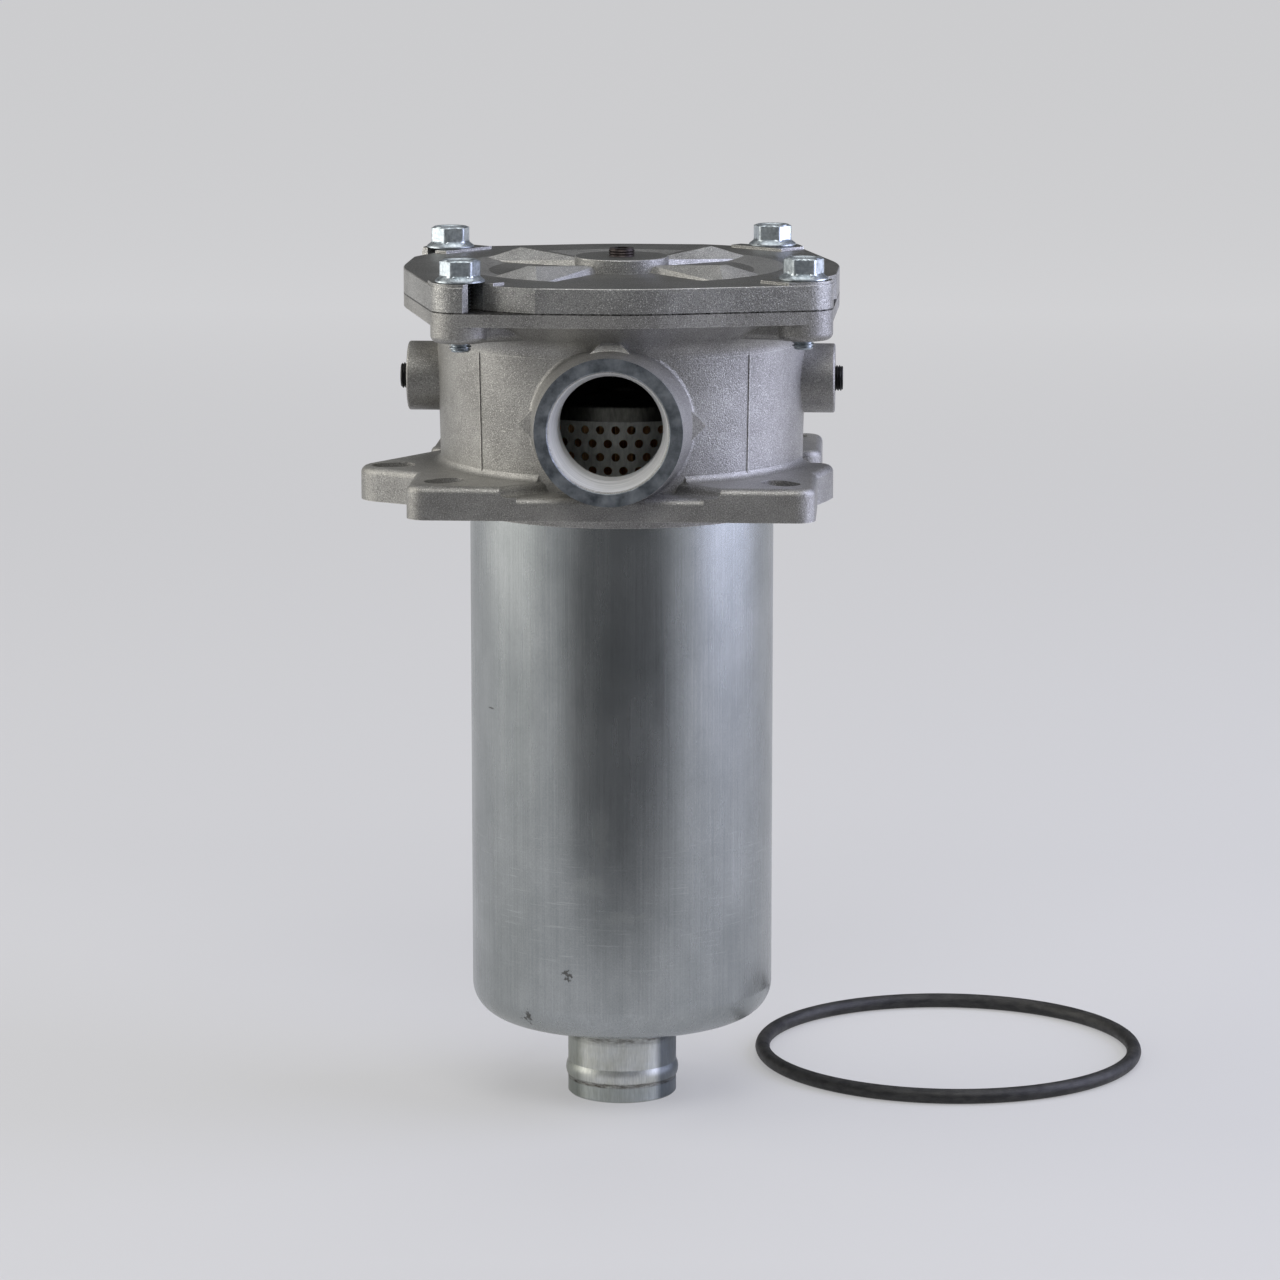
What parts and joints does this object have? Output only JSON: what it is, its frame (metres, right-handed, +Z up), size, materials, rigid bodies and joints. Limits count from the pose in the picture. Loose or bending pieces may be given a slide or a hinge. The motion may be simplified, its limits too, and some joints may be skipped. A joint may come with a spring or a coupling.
{
  "type": "hydraulic filter assembly",
  "caption": "Tank-top return-line hydraulic filter: cast aluminium head with a side inlet port and mounting flange, bolted ribbed cover, steel bowl with outlet spigot, and a loose seal ring.",
  "frame": {"origin": "centre of the mounting flange's underside, on the axis of the bowl and element", "axes": "+Z up along the bowl's axis to the cover; -Y out of the inlet port; +X towards the right-hand side plug seen from the port"},
  "size_m": [0.2942, 0.2177, 0.3234],
  "materials": {
    "cast_head": "sand-cast and shot-blasted aluminium, matt warm grey",
    "cast_cover": "cast aluminium, matt grey with a rough edge",
    "bowl_steel": "drawn zinc-plated sheet steel with lengthwise streaks",
    "spigot_steel": "yellowed zinc-plated steel, lightly rusted at the end",
    "screw_steel": "bright zinc-plated steel",
    "black_plug": "black, matt",
    "element_steel": "dull tinned sheet steel",
    "spring_steel": "plain spring wire",
    "filter_paper": "resin-stiffened brown filter paper",
    "seal_rubber": "matt black nitrile rubber"
  },
  "bodies": {
    "head": {"filter_head": "cast_head", "bowl": "bowl_steel", "outlet_spigot": "spigot_steel", "cover_seal": "seal_rubber", "bowl_seal": "seal_rubber", "loose_seal_ring": "seal_rubber"},
    "lid": {"cover": "cast_cover"},
    "plug_centre": {"centre_plug": "black_plug"},
    "screw_front_left": {"cover_screw_front_left": "screw_steel"},
    "screw_front_right": {"cover_screw_front_right": "screw_steel"},
    "screw_back_right": {"cover_screw_back_right": "screw_steel"},
    "screw_back_left": {"cover_screw_back_left": "screw_steel"},
    "plug_left": {"gauge_plug_left": "black_plug"},
    "plug_right": {"gauge_plug_right": "black_plug"},
    "element": {"element_top_cap": "element_steel", "element_bottom_cap": "element_steel", "element_outer_tube": "element_steel", "element_core": "element_steel", "pleated_media": "filter_paper", "bypass_cage": "element_steel", "bypass_spring": "spring_steel", "element_seal": "seal_rubber"},
    "poppet": {"bypass_poppet": "element_steel"}
  },
  "joints": [
    {"name": "cover_lift", "type": "slide", "parent": "head", "child": "lid", "axis": [0, 0, 1], "range_m": [0, 0.36]},
    {"name": "element_lift", "type": "slide", "parent": "head", "child": "element", "axis": [0, 0, 1], "range_m": [0, 0.29]},
    {"name": "bypass_open", "type": "slide", "parent": "element", "child": "poppet", "axis": [0, 0, -1], "range_m": [0, 0.006], "stiffness_N_per_m": 8000, "springref_m": -0.008, "deforming": ["bypass_spring"]},
    {"name": "centre_plug_turn", "type": "hinge", "parent": "lid", "child": "plug_centre", "pos_m": [0, 0, 0.0876], "axis": [0, 0, 1], "continuous": true},
    {"name": "screw_front_left_turn", "type": "hinge", "parent": "lid", "child": "screw_front_left", "pos_m": [-0.0538, -0.06837, 0.085], "axis": [0, 0, 1], "continuous": true},
    {"name": "screw_front_right_turn", "type": "hinge", "parent": "lid", "child": "screw_front_right", "pos_m": [0.06837, -0.0538, 0.085], "axis": [0, 0, 1], "continuous": true},
    {"name": "screw_back_right_turn", "type": "hinge", "parent": "lid", "child": "screw_back_right", "pos_m": [0.0538, 0.06837, 0.085], "axis": [0, 0, 1], "continuous": true},
    {"name": "screw_back_left_turn", "type": "hinge", "parent": "lid", "child": "screw_back_left", "pos_m": [-0.06837, 0.0538, 0.085], "axis": [0, 0, 1], "continuous": true},
    {"name": "gauge_plug_left_turn", "type": "hinge", "parent": "head", "child": "plug_left", "pos_m": [-0.0791, 0, 0.0427], "axis": [-1, 0, 0], "continuous": true},
    {"name": "gauge_plug_right_turn", "type": "hinge", "parent": "head", "child": "plug_right", "pos_m": [0.0791, 0, 0.0427], "axis": [1, 0, 0], "continuous": true}
  ],
  "couplings": [
    {"joint": "element_lift", "follows": "cover_lift", "ratio": 0.8}
  ]
}
